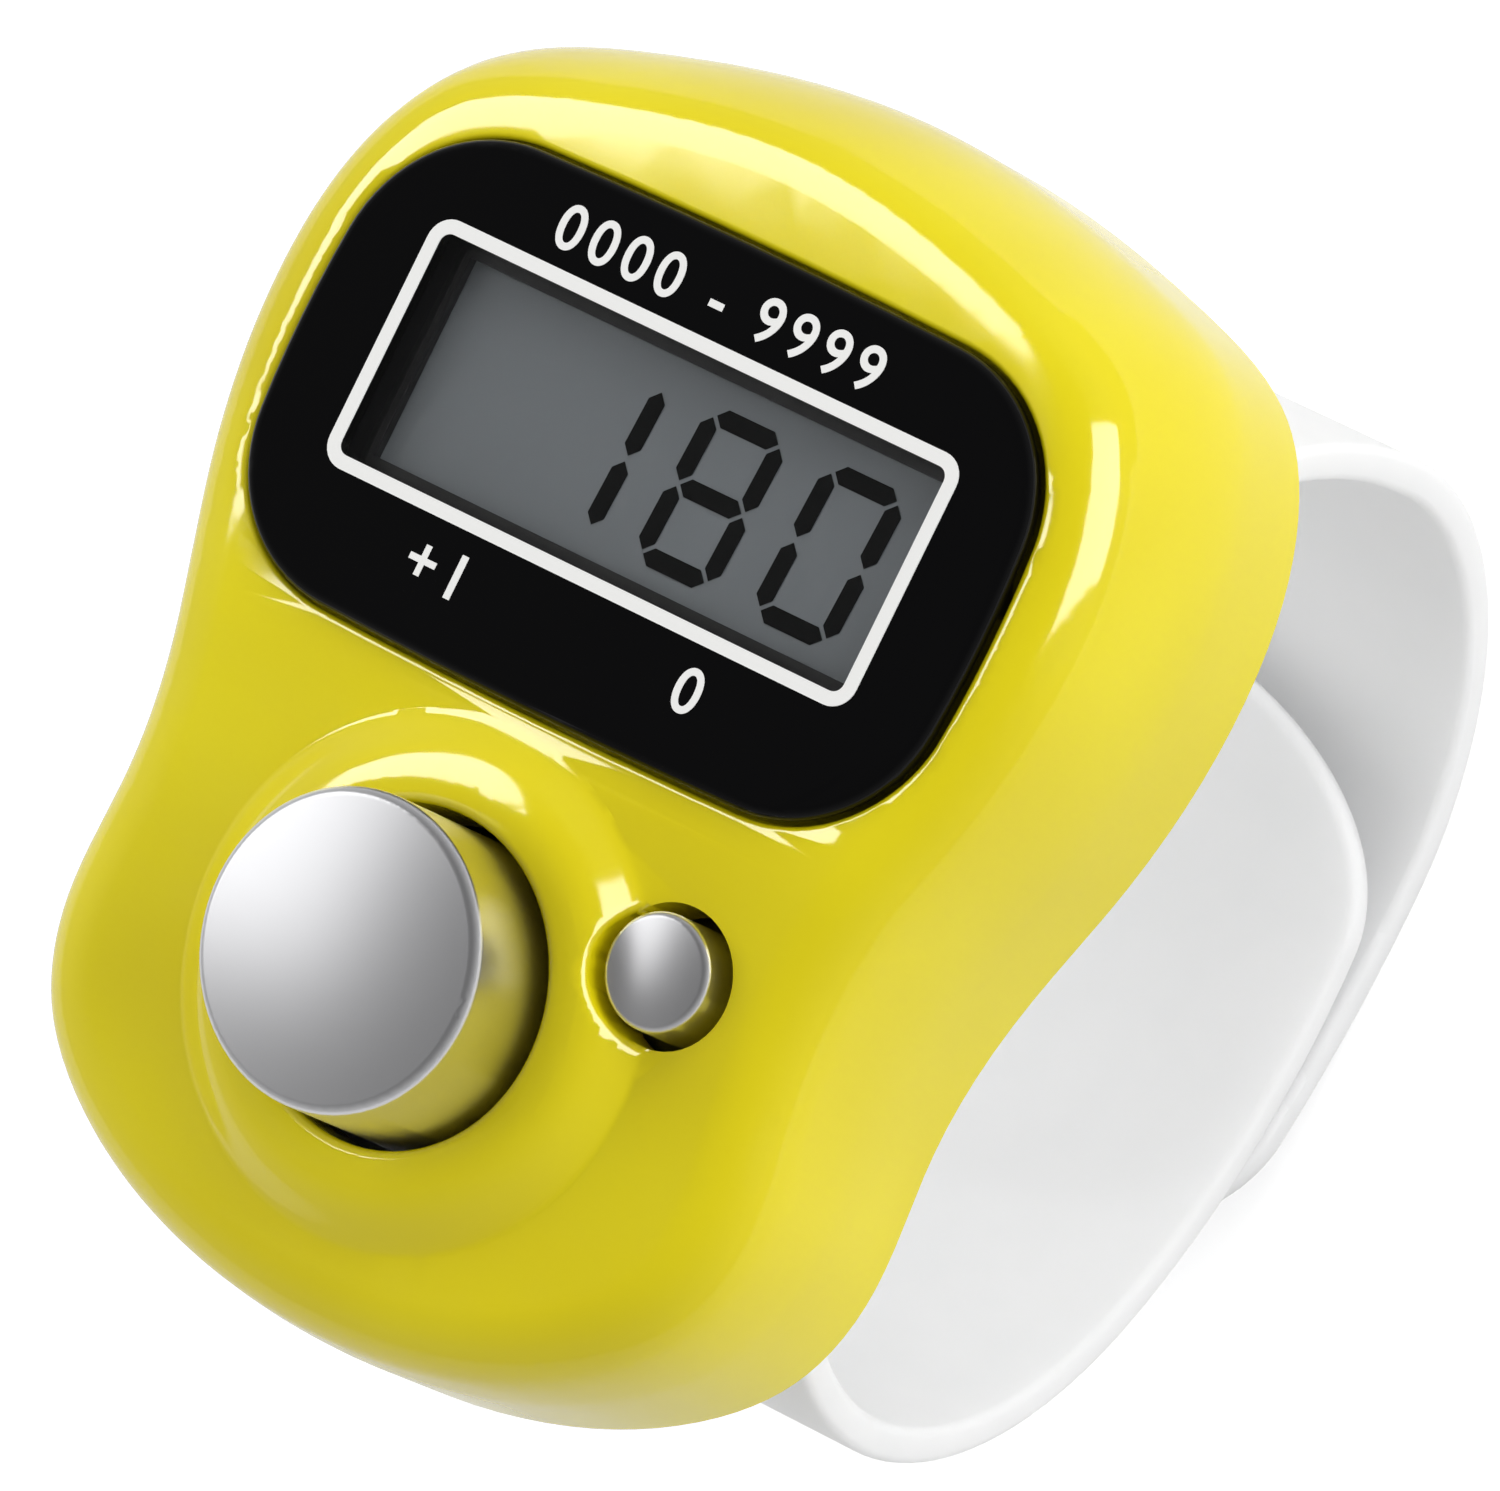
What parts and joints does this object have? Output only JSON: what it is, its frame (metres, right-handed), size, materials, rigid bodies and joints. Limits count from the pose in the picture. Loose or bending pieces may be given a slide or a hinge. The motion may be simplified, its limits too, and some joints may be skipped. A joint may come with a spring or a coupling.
{
  "type": "finger tally counter",
  "caption": "Finger-worn tally counter: pear-shaped housing with a display window, a large sprung count key, a small reset key and an open springy finger band.",
  "frame": {"origin": "under the middle of the housing, on the surface that the band's lowest point stands on", "axes": "+Z out of the display, +Y from the count key towards the display, +X to the reader's right"},
  "size_m": [0.0322, 0.0408, 0.0412],
  "materials": {
    "housing": "polished moulded ABS",
    "window": "clear acrylic printed black behind",
    "tape": "double-sided foam tape",
    "bezel": "moulded black",
    "polariser": "film",
    "display_glass": "thin polished",
    "reflector": "silvered film",
    "strip_rubber": "smooth",
    "plated_key": "bright plated plastic",
    "dome_rubber": "translucent silicone",
    "carbon": "conductive",
    "board": "green solder mask on glass-fibre board",
    "epoxy": "poured",
    "chips": "matt",
    "cell": "plated",
    "contacts": "bright spring strip",
    "screws": "plated",
    "band": "polished translucent white"
  },
  "bodies": {
    "housing": {"front_shell": "housing", "display_window": "window", "window_tape": "tape", "display_bezel": "bezel", "display_polariser": "polariser", "front_glass": "display_glass", "rear_glass": "display_glass", "display_reflector": "reflector", "zebra_strip": "strip_rubber", "support_strip": "strip_rubber", "count_dome": "dome_rubber", "reset_dome": "dome_rubber", "circuit_board": "board", "chip_blob": "epoxy", "chip_components": "chips", "button_cell": "cell", "negative_contact": "contacts", "positive_contact": "contacts", "cover_screws": "screws", "board_screws": "screws", "back_cover": "band", "upper_band": "band", "lower_band": "band"},
    "count_key": {"count_button": "plated_key", "count_pill": "carbon"},
    "reset_key": {"reset_button": "plated_key", "reset_pill": "carbon"}
  },
  "joints": [
    {"name": "count_press", "type": "slide", "parent": "housing", "child": "count_key", "axis": [0, 0, -1], "range_m": [0, 0.001], "stiffness_N_per_m": 800, "springref_m": -0.0008, "deforming": ["count_dome"]},
    {"name": "reset_press", "type": "slide", "parent": "housing", "child": "reset_key", "axis": [0, 0, -1], "range_m": [0, 0.0006], "stiffness_N_per_m": 1000, "springref_m": -0.0007, "deforming": ["reset_dome"]}
  ]
}
